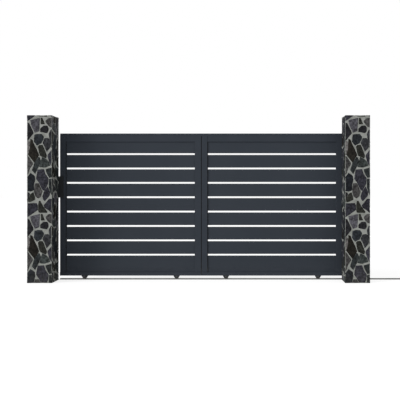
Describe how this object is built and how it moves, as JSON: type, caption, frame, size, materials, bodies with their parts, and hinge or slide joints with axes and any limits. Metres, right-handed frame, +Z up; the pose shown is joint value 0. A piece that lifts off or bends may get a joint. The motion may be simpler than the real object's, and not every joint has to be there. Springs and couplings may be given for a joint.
{
  "type": "sliding driveway gate",
  "caption": "Slatted sliding driveway gate with two stone-faced pillars; the leaf rolls behind them on a floor rail, held by a top guide and a receiver.",
  "frame": {"origin": "centre of the left pillar's underside, at ground level", "axes": "+X along the gate from the left pillar to the right one and on to the end stop, +Y from the road side to the yard side, +Z up"},
  "size_m": [7.554, 0.3995, 2.01],
  "materials": {
    "pillar": "stone cladding with pale mortar joints",
    "leaf_frame": "matt anthracite powder coat",
    "slat": "matt anthracite powder coat",
    "rail_steel": "galvanised, dull",
    "black_steel": "black paint, satin",
    "bolt_steel": "zinc plated",
    "wheel_steel": "turned steel, zinc plated and dulled",
    "nylon": "black nylon",
    "rubber": "black rubber"
  },
  "bodies": {
    "root": {"left_pillar": "pillar", "right_pillar": "pillar", "rail_section_1": "rail_steel", "rail_section_2": "rail_steel", "rail_section_3": "rail_steel", "end_stop_bracket": "black_steel", "end_stop_buffer": "rubber", "receiver_front_plate": "black_steel", "receiver_web": "black_steel", "receiver_rear_cheek": "black_steel", "receiver_pad": "nylon", "receiver_buffer": "rubber", "guide_bracket": "black_steel", "guide_pins": "bolt_steel", "guide_roller_near_front": "nylon", "guide_roller_near_rear": "nylon", "guide_roller_far_front": "nylon", "guide_roller_far_rear": "nylon"},
    "leaf": {"base_channel": "leaf_frame", "guide_tube": "leaf_frame", "tail_post": "leaf_frame", "left_panel_left_stile": "leaf_frame", "left_panel_right_stile": "leaf_frame", "left_panel_top_rail": "leaf_frame", "left_panel_bottom_rail": "leaf_frame", "left_panel_slats": "slat", "right_panel_left_stile": "leaf_frame", "right_panel_right_stile": "leaf_frame", "right_panel_top_rail": "leaf_frame", "right_panel_bottom_rail": "leaf_frame", "right_panel_slats": "slat", "roller_fork_1": "black_steel", "roller_axle_1": "bolt_steel", "roller_fork_2": "black_steel", "roller_axle_2": "bolt_steel", "roller_fork_3": "black_steel", "roller_axle_3": "bolt_steel", "roller_fork_4": "black_steel", "roller_axle_4": "bolt_steel"},
    "wheel_1": {"wheel_1": "wheel_steel"},
    "wheel_2": {"wheel_2": "wheel_steel"},
    "wheel_3": {"wheel_3": "wheel_steel"},
    "wheel_4": {"wheel_4": "wheel_steel"}
  },
  "joints": [
    {"name": "leaf_slide", "type": "slide", "parent": "root", "child": "leaf", "axis": [1, 0, 0], "range_m": [0, 3.49]},
    {"name": "wheel_1_turn", "type": "hinge", "parent": "leaf", "child": "wheel_1", "pos_m": [0.4615, 0.1975, 0.0413], "axis": [0, 1, 0], "continuous": true},
    {"name": "wheel_2_turn", "type": "hinge", "parent": "leaf", "child": "wheel_2", "pos_m": [1.606, 0.1975, 0.0413], "axis": [0, 1, 0], "continuous": true},
    {"name": "wheel_3_turn", "type": "hinge", "parent": "leaf", "child": "wheel_3", "pos_m": [2.22, 0.1975, 0.0413], "axis": [0, 1, 0], "continuous": true},
    {"name": "wheel_4_turn", "type": "hinge", "parent": "leaf", "child": "wheel_4", "pos_m": [3.3645, 0.1975, 0.0413], "axis": [0, 1, 0], "continuous": true}
  ],
  "couplings": [
    {"joint": "wheel_1_turn", "follows": "leaf_slide", "rad_per_m": 38.023},
    {"joint": "wheel_2_turn", "follows": "leaf_slide", "rad_per_m": 38.023},
    {"joint": "wheel_3_turn", "follows": "leaf_slide", "rad_per_m": 38.023},
    {"joint": "wheel_4_turn", "follows": "leaf_slide", "rad_per_m": 38.023}
  ]
}
